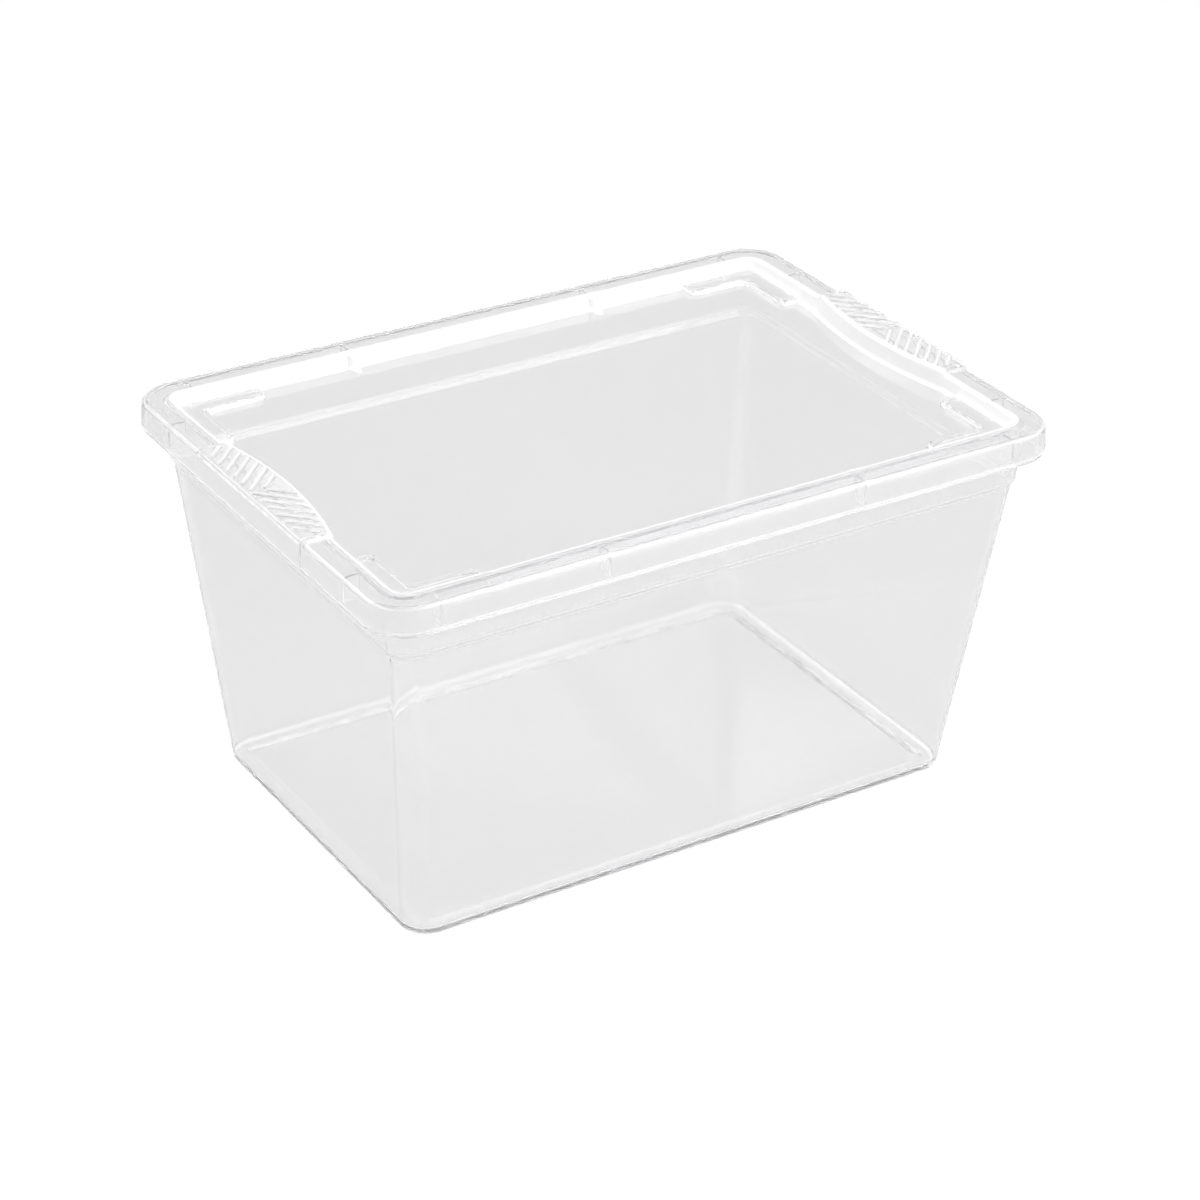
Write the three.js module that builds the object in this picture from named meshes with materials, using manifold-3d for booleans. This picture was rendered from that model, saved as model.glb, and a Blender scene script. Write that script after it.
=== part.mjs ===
// Stackable storage bin with a lift-off lid, both injection-moulded in clear polypropylene.
//
// Millimetres, +Z up, +X along the long side. The origin is the centre of the base, at the
// level of the surface that the bin stands on.
//
// Every wall of both mouldings is a profile taken round a rounded rectangle. A place on a
// profile is given by its inset, the distance in from the edge of the lid's rim, its height,
// and the radius of the rectangle's corners there.

import * as THREE from 'three';
import { mergeVertices } from 'three/addons/utils/BufferGeometryUtils.js';
import Module from 'manifold-3d';

const wasm = await Module();
wasm.setup();

// ---------------------------------------------------------------- driving dimensions

const LID_LENGTH = 389;
const LID_WIDTH = 270;
const LID_CORNER_RADIUS = 22;
const LID_WALL = 1.6;
const RIM_HEIGHT = 207; // top of the lid's rim, with the lid on
const RIM_WIDTH = 15.5;
const RIM_EDGE_RADIUS = 2.5;
const SKIRT_HEIGHT = 13.8;
const SKIRT_FLARE = 0.75;
const RECESS_DEPTH = 8;
const RECESS_DRAFT = 1.3;
const LID_GAP = 0.3; // between the lid and the bin's rim, all round

const BASE_INSET = 31.5; // how far the bin's foot lies inside the lid's edge
const BASE_CORNER_RADIUS = 15;
const BIN_WALL = 1.6;
const FLOOR_THICKNESS = 1.9;
const FOOT_WIDTH = 9;
const FOOT_DEPTH = 1.2;
const FOOT_FILLET = 4;
const SHOULDER_HEIGHT = 171.5; // where the wall steps out into the collar
const SHOULDER_RISE = 3;
const SHOULDER_INSET = 14.5;
const COLLAR_INSET = 12.3;
const COLLAR_TOP_INSET = 10.9;
const LIP_INSET = 2.4; // outer face of the turned-down edge of the bin's rim
const LIP_WALL = 1.7;
const BEAD_HEIGHT = 2; // the bead at the lip's foot, under the lid's skirt
const BEAD_INSET = 0.3;

const GUSSET_THICKNESS = 1.4;
const GUSSET_X = [73.5, 164.5]; // gussets behind the lip of the long sides
const GUSSET_Y = [91]; // and of the short sides

const PLATEAU_HEIGHT = 2.7; // L-shaped steps that locate the bin stacked above
const PLATEAU_X = 165; // inner edges
const PLATEAU_Y = 105;
const PLATEAU_END_X = 130;
const PLATEAU_END_Y = 70;
const PLATEAU_END_RADIUS = 4.5;
const PLATEAU_CORNER_RADIUS = 4;

const PIP_X = 74; // half-round pips on the long walls of the recess
const PIP_RADIUS = 2.4;

const GRIP_HALF_LENGTH = 53.5; // of the raised top, between the ramps at its ends
const GRIP_RAMP = 3.5;
const GRIP_BULGE = 7.5; // how far the grip arches into the recess
const GRIP_RISE = 1.9;
const GRIP_PROUD = 0.6; // the grip's outer face stands off the skirt
const GRIP_RIB_HEIGHT = 0.8;
const GRIP_RIB_WIDTH = 2.8;
const GRIP_RIB_PITCH = 8.2;
const GRIP_RIBS_PER_HALF = 7;
const GRIP_RIB_MARGIN = 2.4;

const CORNER_STEPS = 7;
const FILLET_STEPS = 3;
const ARCH_STEPS = 16;

// ---------------------------------------------------------------- worked-out values

const HALF_X = LID_LENGTH / 2;
const HALF_Y = LID_WIDTH / 2;
const RIM_UNDERSIDE = RIM_HEIGHT - LID_WALL;
const SKIRT_FOOT = RIM_HEIGHT - SKIRT_HEIGHT;
const PANEL_TOP = RIM_HEIGHT - RECESS_DEPTH;
const PANEL_UNDERSIDE = PANEL_TOP - LID_WALL;
const RECESS_FOOT_INSET = RIM_WIDTH + RECESS_DRAFT;
const BIN_TOP = RIM_UNDERSIDE - LID_GAP;
const BEAD_TOP = SKIRT_FOOT - LID_GAP;
const LIP_FOOT = BEAD_TOP - BEAD_HEIGHT;
const GRIP_FOOT_HALF_LENGTH = GRIP_HALF_LENGTH + GRIP_RAMP;
const FLOOR_UNDERSIDE = FOOT_DEPTH;
const FLOOR_TOP = FLOOR_UNDERSIDE + FLOOR_THICKNESS;
const SHOULDER_TOP = SHOULDER_HEIGHT + SHOULDER_RISE;

// ---------------------------------------------------------------- shape helpers

// Corner radius of the rim's rounded rectangles, which are nearly concentric.
function rimRadius(inset) {
  return LID_CORNER_RADIUS - 0.9 * inset;
}

function onRim(inset, z) {
  return { inset, z, radius: rimRadius(inset) };
}

// The bin's wall leans in a straight line from the foot to the shoulder.
function onWall(z, offset = 0) {
  const rise = z / SHOULDER_HEIGHT;
  return {
    inset: THREE.MathUtils.lerp(BASE_INSET, SHOULDER_INSET, rise) + offset,
    z,
    radius: THREE.MathUtils.lerp(BASE_CORNER_RADIUS, rimRadius(SHOULDER_INSET), rise) - offset,
  };
}

// Places on a quarter round from one place to another. The corner is where they would meet
// if the edge were sharp.
function fillet(from, corner, to, steps = FILLET_STEPS) {
  const places = [];
  for (let step = 0; step <= steps; step += 1) {
    const angle = (step / steps) * (Math.PI / 2);
    const nearTo = 1 - Math.cos(angle);
    const nearFrom = 1 - Math.sin(angle);
    const mix = (key) => corner[key]
      + (from[key] - corner[key]) * nearFrom
      + (to[key] - corner[key]) * nearTo;
    places.push({ inset: mix('inset'), z: mix('z'), radius: mix('radius') });
  }
  return places;
}

function roundedRectangle(halfX, halfY, radius) {
  const points = [];
  const corners = [[1, 1], [-1, 1], [-1, -1], [1, -1]];
  corners.forEach(([signX, signY], quarter) => {
    for (let step = 0; step <= CORNER_STEPS; step += 1) {
      const angle = (quarter + step / CORNER_STEPS) * (Math.PI / 2);
      const x = signX * (halfX - radius) + radius * Math.cos(angle);
      const y = signY * (halfY - radius) + radius * Math.sin(angle);
      points.push([x, y]);
    }
  });
  return points;
}

// A moulding from its profile, which runs from the middle of the underside, round the edge,
// to the middle of the top.
function mouldFromProfile(profile) {
  const positions = [];
  const index = [];
  const ringSize = 4 * (CORNER_STEPS + 1);
  for (const place of profile) {
    const ring = roundedRectangle(HALF_X - place.inset, HALF_Y - place.inset, place.radius);
    ring.forEach(([x, y]) => positions.push(x, y, place.z));
  }
  const undersideMiddle = profile.length * ringSize;
  const topMiddle = undersideMiddle + 1;
  positions.push(0, 0, profile[0].z);
  positions.push(0, 0, profile[profile.length - 1].z);
  const lastRing = (profile.length - 1) * ringSize;
  for (let i = 0; i < ringSize; i += 1) {
    const next = (i + 1) % ringSize;
    index.push(undersideMiddle, next, i);
    index.push(topMiddle, lastRing + i, lastRing + next);
    for (let row = 0; row < profile.length - 1; row += 1) {
      const low = row * ringSize;
      const high = low + ringSize;
      index.push(low + i, low + next, high + next);
      index.push(low + i, high + next, high + i);
    }
  }
  const geometry = new THREE.BufferGeometry();
  geometry.setAttribute('position', new THREE.Float32BufferAttribute(positions, 3));
  geometry.setIndex(index);
  return toSolid(geometry);
}

function toSolid(geometry) {
  const bare = geometry.clone();
  bare.deleteAttribute('normal');
  bare.deleteAttribute('uv');
  const merged = mergeVertices(bare);
  return new wasm.Manifold(new wasm.Mesh({
    numProp: 3,
    vertProperties: Float32Array.from(merged.attributes.position.array),
    triVerts: Uint32Array.from(merged.index.array),
  }));
}

function toGeometry(solid) {
  const { vertProperties, triVerts } = solid.getMesh();
  const geometry = new THREE.BufferGeometry();
  geometry.setAttribute('position', new THREE.BufferAttribute(vertProperties, 3));
  geometry.setIndex(new THREE.BufferAttribute(triVerts, 1));
  return geometry;
}

function toMesh(name, solid, material) {
  const geometry = toGeometry(solid);
  geometry.computeVertexNormals();
  const mesh = new THREE.Mesh(geometry, material);
  mesh.name = name;
  return mesh;
}

// The mirror image of a solid. One reflection turns the faces inside out, and listing all
// their corners backwards turns them out again.
function mirrored(solid, acrossX, acrossY) {
  const geometry = toGeometry(solid);
  geometry.scale(acrossX ? -1 : 1, acrossY ? -1 : 1, 1);
  if (acrossX !== acrossY) {
    geometry.index.array.reverse();
  }
  return toSolid(geometry);
}

function box(low, high) {
  const size = high.map((value, axis) => value - low[axis]);
  const geometry = new THREE.BoxGeometry(...size);
  geometry.translate(...low.map((value, axis) => value + size[axis] / 2));
  return toSolid(geometry);
}

function extrude(shape, bottom, top) {
  const settings = { depth: top - bottom, bevelEnabled: false, curveSegments: 4 };
  const geometry = new THREE.ExtrudeGeometry(shape, settings);
  geometry.translate(0, 0, bottom);
  return toSolid(geometry);
}

function joined(solids) {
  return solids.reduce((whole, solid) => whole.add(solid));
}

// ---------------------------------------------------------------- bin body

// Foot ring, rounded bottom edge, leaning wall, shoulder, collar, and the rim: a flange that
// turns down into a lip with a bead at its foot.
function binProfile() {
  const footInner = BASE_INSET + FOOT_WIDTH;
  const footRadius = BASE_CORNER_RADIUS - FOOT_WIDTH;
  const footEdge = { ...onWall(0, FOOT_FILLET), z: 0 };
  const floorEdge = { ...onWall(FLOOR_TOP, BIN_WALL + FOOT_FILLET), z: FLOOR_TOP };
  const floorCorner = onWall(FLOOR_TOP, BIN_WALL);
  const flangeUnderside = BIN_TOP - LIP_WALL;
  const lipInner = LIP_INSET + LIP_WALL;
  return [
    { inset: footInner + FOOT_DEPTH, z: FLOOR_UNDERSIDE, radius: footRadius },
    { inset: footInner, z: 0, radius: footRadius },
    ...fillet(footEdge, onWall(0), onWall(FOOT_FILLET)),
    onWall(SHOULDER_HEIGHT),
    onRim(COLLAR_INSET, SHOULDER_TOP),
    onRim(COLLAR_TOP_INSET, flangeUnderside),
    onRim(lipInner, flangeUnderside),
    onRim(lipInner - 0.4, LIP_FOOT),
    onRim(BEAD_INSET + 0.4, LIP_FOOT),
    onRim(BEAD_INSET, LIP_FOOT + 0.4),
    onRim(BEAD_INSET, BEAD_TOP),
    onRim(LIP_INSET, BEAD_TOP),
    onRim(LIP_INSET, BIN_TOP - 1),
    onRim(LIP_INSET + 1, BIN_TOP),
    onRim(COLLAR_TOP_INSET + BIN_WALL - 0.6, BIN_TOP),
    onRim(COLLAR_TOP_INSET + BIN_WALL, BIN_TOP - 0.6),
    onRim(COLLAR_INSET + BIN_WALL, SHOULDER_TOP + 0.6),
    onWall(SHOULDER_HEIGHT - 0.8, BIN_WALL),
    ...fillet(onWall(FLOOR_TOP + FOOT_FILLET, BIN_WALL), floorCorner, floorEdge),
  ];
}

// Gussets tie the turned-down lip to the collar.
function gussets() {
  const top = BIN_TOP - LIP_WALL + 0.5;
  const bottom = LIP_FOOT + 2;
  const inner = COLLAR_TOP_INSET + 0.9;
  const outer = LIP_INSET + 0.9;
  const half = GUSSET_THICKNESS / 2;
  const solids = [];
  for (const side of [false, true]) {
    for (const end of [false, true]) {
      for (const x of GUSSET_X) {
        const low = [x - half, HALF_Y - inner, bottom];
        const high = [x + half, HALF_Y - outer, top];
        solids.push(mirrored(box(low, high), side, end));
      }
      for (const y of GUSSET_Y) {
        const low = [HALF_X - inner, y - half, bottom];
        const high = [HALF_X - outer, y + half, top];
        solids.push(mirrored(box(low, high), side, end));
      }
    }
  }
  return solids;
}

function binBody() {
  return joined([mouldFromProfile(binProfile()), ...gussets()]);
}

// ---------------------------------------------------------------- lid

// Sunken panel, recess wall, flat rim with rounded edges, and the skirt over the bin's lip.
function lidProfile() {
  const wallFoot = RECESS_FOOT_INSET - LID_WALL;
  const skirtInner = LID_WALL;
  const skirtFootInner = LID_WALL - SKIRT_FLARE;
  const round = RIM_EDGE_RADIUS;
  const small = 1.6;
  return [
    ...fillet(
      onRim(wallFoot + small, PANEL_UNDERSIDE),
      onRim(wallFoot, PANEL_UNDERSIDE),
      onRim(wallFoot - 0.2, PANEL_UNDERSIDE + small),
    ),
    onRim(RIM_WIDTH - LID_WALL, RIM_UNDERSIDE),
    onRim(skirtInner + 0.9, RIM_UNDERSIDE),
    onRim(skirtInner, RIM_UNDERSIDE - 0.9),
    onRim(skirtFootInner, SKIRT_FOOT + 0.3),
    onRim(skirtFootInner - 0.3, SKIRT_FOOT),
    onRim(-SKIRT_FLARE + 0.3, SKIRT_FOOT),
    onRim(-SKIRT_FLARE, SKIRT_FOOT + 0.3),
    ...fillet(onRim(0, RIM_HEIGHT - round), onRim(0, RIM_HEIGHT), onRim(round, RIM_HEIGHT)),
    ...fillet(
      onRim(RIM_WIDTH - 2, RIM_HEIGHT),
      onRim(RIM_WIDTH, RIM_HEIGHT),
      onRim(RIM_WIDTH + 0.3, RIM_HEIGHT - 2),
    ),
    ...fillet(
      onRim(RECESS_FOOT_INSET - 0.2, PANEL_TOP + small),
      onRim(RECESS_FOOT_INSET, PANEL_TOP),
      onRim(RECESS_FOOT_INSET + small, PANEL_TOP),
    ),
  ];
}

// Outline of an L-shaped plateau in the corner of the recess at +X, +Y. The margin pulls its
// free edges in, and reach carries its outer edges into or past the recess wall.
function plateauOutline(margin, reach) {
  const x = PLATEAU_X + margin;
  const y = PLATEAU_Y + margin;
  const endX = PLATEAU_END_X + margin;
  const endY = PLATEAU_END_Y + margin;
  const round = PLATEAU_END_RADIUS - margin;
  const corner = PLATEAU_CORNER_RADIUS + margin;
  const outerX = HALF_X - reach;
  const outerY = HALF_Y - reach;
  const outerRadius = rimRadius(reach);
  const shape = new THREE.Shape();
  shape.moveTo(endX, outerY);
  shape.lineTo(endX, y + round);
  shape.quadraticCurveTo(endX, y, endX + round, y);
  shape.lineTo(x - corner, y);
  shape.quadraticCurveTo(x, y, x, y - corner);
  shape.lineTo(x, endY + round);
  shape.quadraticCurveTo(x, endY, x + round, endY);
  shape.lineTo(outerX, endY);
  shape.lineTo(outerX, outerY - outerRadius);
  shape.quadraticCurveTo(outerX, outerY, outerX - outerRadius, outerY);
  shape.closePath();
  return shape;
}

// The grip's inner edge is an arc across the rim. Inset by margin, it gives the inner edge of
// the grip's ribs, or of the hollow under it.
function gripOutline(margin, halfLength, outerX) {
  const sagRadius = (GRIP_FOOT_HALF_LENGTH ** 2 + GRIP_BULGE ** 2) / (2 * GRIP_BULGE);
  const centreX = HALF_X - RIM_WIDTH - GRIP_BULGE + sagRadius;
  const shape = new THREE.Shape();
  shape.moveTo(outerX, -halfLength);
  shape.lineTo(outerX, halfLength);
  for (let step = 0; step <= ARCH_STEPS; step += 1) {
    const y = THREE.MathUtils.lerp(halfLength, -halfLength, step / ARCH_STEPS);
    const x = centreX - Math.sqrt((sagRadius - margin) ** 2 - y ** 2);
    shape.lineTo(x, y);
  }
  shape.closePath();
  return shape;
}

// Two halves of slanting ribs that meet at the middle of the grip's outer edge.
function gripRibs(top) {
  const field = extrude(
    gripOutline(GRIP_RIB_MARGIN, GRIP_HALF_LENGTH - GRIP_RIB_MARGIN, HALF_X - GRIP_RIB_MARGIN),
    top - 0.4,
    top + GRIP_RIB_HEIGHT,
  );
  const length = 60;
  const bars = [];
  for (let i = 0; i < GRIP_RIBS_PER_HALF; i += 1) {
    const startY = 3.4 + i * GRIP_RIB_PITCH;
    const bar = new THREE.BoxGeometry(length, GRIP_RIB_WIDTH, 4);
    bar.translate(-length / 2 + GRIP_RIB_WIDTH, 0, 0);
    bar.rotateZ(-Math.PI / 4);
    bar.translate(HALF_X - GRIP_RIB_MARGIN, startY, top);
    const solid = toSolid(bar).intersect(box([0, 0.8, 0], [HALF_X, HALF_Y, 2 * top]));
    bars.push(solid, mirrored(solid, false, true));
  }
  return joined(bars).intersect(field);
}

// Side view of the grip's pad, whose ends ramp down to the rim, taken through the whole rim.
function rampedPad(top) {
  const shape = new THREE.Shape();
  shape.moveTo(-GRIP_FOOT_HALF_LENGTH, RIM_UNDERSIDE);
  shape.lineTo(GRIP_FOOT_HALF_LENGTH, RIM_UNDERSIDE);
  shape.lineTo(GRIP_FOOT_HALF_LENGTH, RIM_HEIGHT);
  shape.lineTo(GRIP_HALF_LENGTH, top);
  shape.lineTo(-GRIP_HALF_LENGTH, top);
  shape.lineTo(-GRIP_FOOT_HALF_LENGTH, RIM_HEIGHT);
  shape.closePath();
  const geometry = new THREE.ExtrudeGeometry(shape, { depth: LID_LENGTH, bevelEnabled: false });
  geometry.rotateX(Math.PI / 2);
  geometry.rotateZ(Math.PI / 2);
  return toSolid(geometry);
}

// The grip at +X: a raised pad whose inner wall bulges into the recess, hollow underneath.
function gripBlock() {
  const top = RIM_HEIGHT + GRIP_RISE;
  const outerX = HALF_X + GRIP_PROUD;
  const bulge = extrude(
    gripOutline(0, GRIP_FOOT_HALF_LENGTH - 0.5, HALF_X - RIM_WIDTH + 1),
    PANEL_UNDERSIDE,
    RIM_HEIGHT,
  );
  const pad = extrude(gripOutline(0.4, GRIP_FOOT_HALF_LENGTH, outerX), RIM_UNDERSIDE, top);
  const apron = box(
    [HALF_X - LID_WALL / 2, -GRIP_HALF_LENGTH, SKIRT_FOOT],
    [HALF_X + SKIRT_FLARE + GRIP_PROUD, GRIP_HALF_LENGTH, RIM_HEIGHT - RIM_EDGE_RADIUS],
  );
  return joined([bulge, pad.intersect(rampedPad(top)), apron, gripRibs(top)]);
}

function gripHollow() {
  return extrude(
    gripOutline(LID_WALL, GRIP_HALF_LENGTH - LID_WALL, HALF_X - LID_WALL - 0.4),
    SKIRT_FOOT,
    RIM_UNDERSIDE + GRIP_RISE,
  );
}

function pip() {
  const height = RECESS_DEPTH - 1.2;
  const geometry = new THREE.CylinderGeometry(PIP_RADIUS, PIP_RADIUS, height, 12);
  geometry.rotateX(Math.PI / 2);
  geometry.translate(PIP_X, HALF_Y - RECESS_FOOT_INSET + 0.4, PANEL_TOP - 0.4 + height / 2);
  return toSolid(geometry);
}

function lid() {
  let solid = mouldFromProfile(lidProfile());
  const plateau = extrude(
    plateauOutline(0, RIM_WIDTH),
    PANEL_TOP - LID_WALL / 2,
    PANEL_TOP + PLATEAU_HEIGHT,
  );
  const plateauHollow = extrude(
    plateauOutline(LID_WALL, RECESS_FOOT_INSET - LID_WALL - 1),
    SKIRT_FOOT,
    PANEL_UNDERSIDE + PLATEAU_HEIGHT,
  );
  for (const side of [false, true]) {
    solid = solid.add(mirrored(gripBlock(), side, false));
    solid = solid.subtract(mirrored(gripHollow(), side, false));
    for (const end of [false, true]) {
      solid = solid.add(mirrored(plateau, side, end));
      solid = solid.subtract(mirrored(plateauHollow, side, end));
      solid = solid.add(mirrored(pip(), side, end));
    }
  }
  return solid;
}

// ---------------------------------------------------------------- assembly

const binPlastic = new THREE.MeshStandardMaterial({
  name: 'bin_plastic',
  color: 0xe6ecef,
  roughness: 0.12,
  metalness: 0,
  transparent: true,
  opacity: 0.35,
});

const lidPlastic = new THREE.MeshStandardMaterial({
  name: 'lid_plastic',
  color: 0xeaeff1,
  roughness: 0.16,
  metalness: 0,
  transparent: true,
  opacity: 0.4,
});

const storageBin = new THREE.Group();
storageBin.name = 'storage_bin';
storageBin.add(toMesh('bin_body', binBody(), binPlastic));
storageBin.add(toMesh('lid', lid(), lidPlastic));

export default storageBin;
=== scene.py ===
"""Looks of the stackable storage bin: two clear polypropylene mouldings, a bin and its lid.

Both are swept in metres round rounded rectangles. A ring is one such rectangle, given by its
inset from the edge of the lid's rim and its height. A column runs along the whole profile at
one place on the outline. Local shapes, such as the grips, push rings in, out, up or down where
columns cross them, so each moulding is one closed skin of even thickness.
"""

import math

import bpy
import numpy as np
from mathutils import Matrix, Vector


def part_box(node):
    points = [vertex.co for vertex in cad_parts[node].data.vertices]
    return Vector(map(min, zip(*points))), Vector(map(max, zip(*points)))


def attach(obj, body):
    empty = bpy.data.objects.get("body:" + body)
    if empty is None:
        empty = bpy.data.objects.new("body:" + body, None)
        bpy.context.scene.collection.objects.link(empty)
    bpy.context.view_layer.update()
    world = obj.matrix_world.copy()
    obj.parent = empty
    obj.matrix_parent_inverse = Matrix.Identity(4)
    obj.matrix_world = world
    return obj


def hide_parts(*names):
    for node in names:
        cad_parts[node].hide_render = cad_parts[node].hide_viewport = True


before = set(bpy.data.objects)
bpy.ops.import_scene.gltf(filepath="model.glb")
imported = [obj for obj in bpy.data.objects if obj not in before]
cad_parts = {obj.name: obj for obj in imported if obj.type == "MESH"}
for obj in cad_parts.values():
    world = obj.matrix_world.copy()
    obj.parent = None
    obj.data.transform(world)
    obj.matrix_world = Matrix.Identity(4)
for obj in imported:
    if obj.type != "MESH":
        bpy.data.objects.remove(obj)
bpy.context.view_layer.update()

MM = 0.001

# ---------------------------------------------------------------- driving dimensions

LID_CORNER_RADIUS = 22 * MM
CORNER_RADIUS_FALL = 0.9  # how much of a ring's inset comes off its corner radius
LID_WALL = 1.6 * MM
RIM_WIDTH = 15.5 * MM
RIM_EDGE_RADIUS = 2.5 * MM
SKIRT_FLARE = 0.75 * MM
RECESS_DEPTH = 8 * MM
RECESS_DRAFT = 1.3 * MM
RECESS_EDGE = 2 * MM  # the round edge from the rim down into the recess
RECESS_EDGE_DRAFT = 0.3 * MM
RECESS_FOOT_RADIUS = 1.6 * MM
RECESS_FOOT_DRAFT = 0.25 * MM  # sideways run of the recess wall within its foot's fillet
UNDER_RIM_RADIUS = 0.8 * MM
SKIRT_ROOT_RADIUS = 0.9 * MM
SKIRT_EDGE_RADIUS = 0.35 * MM
PANEL_EDGE_SUPPORT = 1.5 * MM  # how far inside the plateaus the panel's last two rings lie
PANEL_SUPPORT = 9 * MM
LID_GAP = 0.3 * MM

BASE_INSET = 31.5 * MM
BASE_CORNER_RADIUS = 15 * MM
BIN_WALL = 1.6 * MM
FLOOR_THICKNESS = 1.9 * MM
FOOT_WIDTH = 9 * MM
FOOT_DEPTH = 1.2 * MM
FOOT_STEP_RUN = 7 * MM  # sideways run of the soft step inside the foot
FOOT_STEP_PLACE = 0.4  # how much of that run lies over the foot
FOOT_FILLET = 2.6 * MM
FOOT_SUPPORT = 12 * MM  # how far inside the foot the underside's last ring lies
FLOOR_EDGE_SUPPORT = 1 * MM  # how far inside the floor's fillet the floor's last two rings lie
FLOOR_SUPPORT = 6 * MM
SHOULDER_HEIGHT = 171.5 * MM
SHOULDER_RISE = 3 * MM
SHOULDER_INSET = 14.5 * MM
SHOULDER_FILLET = 1.2 * MM
WALL_SUPPORT = 0.8 * MM  # the wall is clear from this far past its fillets
SHOULDER_FILLET_SHARE = 0.4  # how much of the shoulder's slope each of its fillets takes up
COLLAR_FILLET_SHARE = 0.05
INNER_BEND_DROP = 0.8 * MM  # the inside bends this far below the shoulder's foot
INNER_BEND_RISE = 0.6 * MM  # and this far above its top
COLLAR_INSET = 12.3 * MM
COLLAR_TOP_INSET = 10.9 * MM
LIP_INSET = 2.4 * MM
LIP_WALL = 1.7 * MM
BEAD_HEIGHT = 2 * MM
BEAD_INSET = 0.3 * MM
BEAD_EDGE_RADIUS = 0.4 * MM
FLANGE_FILLET = 0.8 * MM
FLANGE_EDGE_RADIUS = 1.2 * MM
GUSSET_THICKNESS = 1.4 * MM
GUSSET_ROOT = 0.1 * MM  # how far a gusset's root spreads past its face
GUSSET_STOP = 2 * MM  # how far above the lip's foot a gusset ends
GUSSET_X = (73.5 * MM, 164.5 * MM)
GUSSET_Y = (91 * MM,)

PLATEAU_HEIGHT = 2.7 * MM
PLATEAU_X = 165 * MM
PLATEAU_END_X = 130 * MM
PLATEAU_END_Y = 70 * MM
PLATEAU_END_RADIUS = 4.5 * MM
PLATEAU_CORNER_RADIUS = 4 * MM
STEP_RUN = 1.1 * MM  # sideways run of a plateau's edge
PANEL_NEAR = 0.1 * MM  # rings this close to the panel's faces carry the painted highlight at that edge
PIP_X = 74 * MM
PIP_RADIUS = 2.4 * MM

GRIP_HALF_LENGTH = 53.5 * MM
GRIP_RAMP = 3.5 * MM
GRIP_BULGE = 7.5 * MM
GRIP_RISE = 1.9 * MM
GRIP_PROUD = 0.6 * MM
GRIP_EDGE_RADIUS = 1.1 * MM
APRON_RAMP = 0.6 * MM  # how quickly the skirt steps out where a grip starts
RIB_HEIGHT = 0.8 * MM
RIB_WIDTH = 2.8 * MM
RIB_PITCH = 8.2 * MM
RIB_START = 2 * MM
RIBS_PER_HALF = 7
RIB_MARGIN = 2.4 * MM
RIB_MIDDLE_GAP = 1.6 * MM
RIB_REACH = 30 * MM  # sideways run of the longest rib that is tried
RIB_ROUNDNESS = 0.7  # 1 makes a rib's back a parabola, and less makes it fuller

# painted highlight on each moulded edge: how far its surface is made white and less clear so that
# it shows as a light line, from 0, clear, to 1

RECESS_PAINTED_HIGHLIGHT = 0.85
UNDERSIDE_PAINTED_HIGHLIGHT = 0.5
STEP_PAINTED_HIGHLIGHT = 0.9
RIB_PAINTED_HIGHLIGHT = 0.5
RIM_EDGE_PAINTED_HIGHLIGHT = 0.45
GRIP_PAINTED_HIGHLIGHT = 0.12
APRON_PAINTED_HIGHLIGHT = 0.8
SKIRT_PAINTED_HIGHLIGHT = 0.5
BEAD_PAINTED_HIGHLIGHT = 0.1
SHOULDER_PAINTED_HIGHLIGHT = 0.6
FOOT_PAINTED_HIGHLIGHT = 0.9
CORNER_PAINTED_HIGHLIGHT = 0.12
GUSSET_PAINTED_HIGHLIGHT = 0.35

# ---------------------------------------------------------------- fineness of the meshes

CORNER_STEPS = 20
RIM_STEPS = 44
LID_SPACING_X = 6 * MM
LID_SPACING_Y = 4 * MM
LID_SPACING_START_Y = 60 * MM
GRIP_SPACING = 0.5 * MM
BIN_SPACING = 8 * MM
LID_STEADY = (140 * MM, 80 * MM)  # columns up to here stay put on smaller rings
BIN_STEADY = (110 * MM, 60 * MM)
RIB_SAMPLES = 600
SHARP_ANGLE = math.radians(40)

# ---------------------------------------------------------------- values from the frame

lid_low, lid_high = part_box("lid")
HALF_X = lid_high[0] - SKIRT_FLARE - GRIP_PROUD
HALF_Y = lid_high[1] - SKIRT_FLARE
RIM_TOP = lid_high[2] - GRIP_RISE - RIB_HEIGHT
SKIRT_FOOT = lid_low[2]
RIM_UNDERSIDE = RIM_TOP - LID_WALL
PANEL_TOP = RIM_TOP - RECESS_DEPTH
PANEL_UNDERSIDE = PANEL_TOP - LID_WALL
RECESS_FOOT_INSET = RIM_WIDTH + RECESS_DRAFT
BIN_TOP = RIM_UNDERSIDE - LID_GAP
BEAD_TOP = SKIRT_FOOT - LID_GAP
LIP_FOOT = BEAD_TOP - BEAD_HEIGHT
FLANGE_UNDERSIDE = BIN_TOP - LIP_WALL
STRAIGHT_X = HALF_X - LID_CORNER_RADIUS
STRAIGHT_Y = HALF_Y - LID_CORNER_RADIUS
PLATEAU_INSET = HALF_X - PLATEAU_X
GRIP_FOOT_HALF_LENGTH = GRIP_HALF_LENGTH + GRIP_RAMP

# ---------------------------------------------------------------- rings

# the last field is each ring's painted highlight: how far its surface is made white and less
# clear
INSET, HEIGHT, RADIUS, ARCH, PIP, STEP, GRIP_IN, GRIP_UP, RIB, GUSSET, HIGHLIGHT_SHARE = range(11)


def ring(inset, z, radius=None, arch=0, pip=0, step=0, grip_in=0, grip_up=0, rib=0):
    """One place on a profile. The shares say how far local shapes move it: arch and pip push
    it in, step lifts it on a plateau, grip_in and grip_up move it along a grip."""
    if radius is None:
        radius = rim_radius(inset)
    return np.array([inset, z, radius, arch, pip, step, grip_in, grip_up, rib, 0, 0], float)


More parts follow.
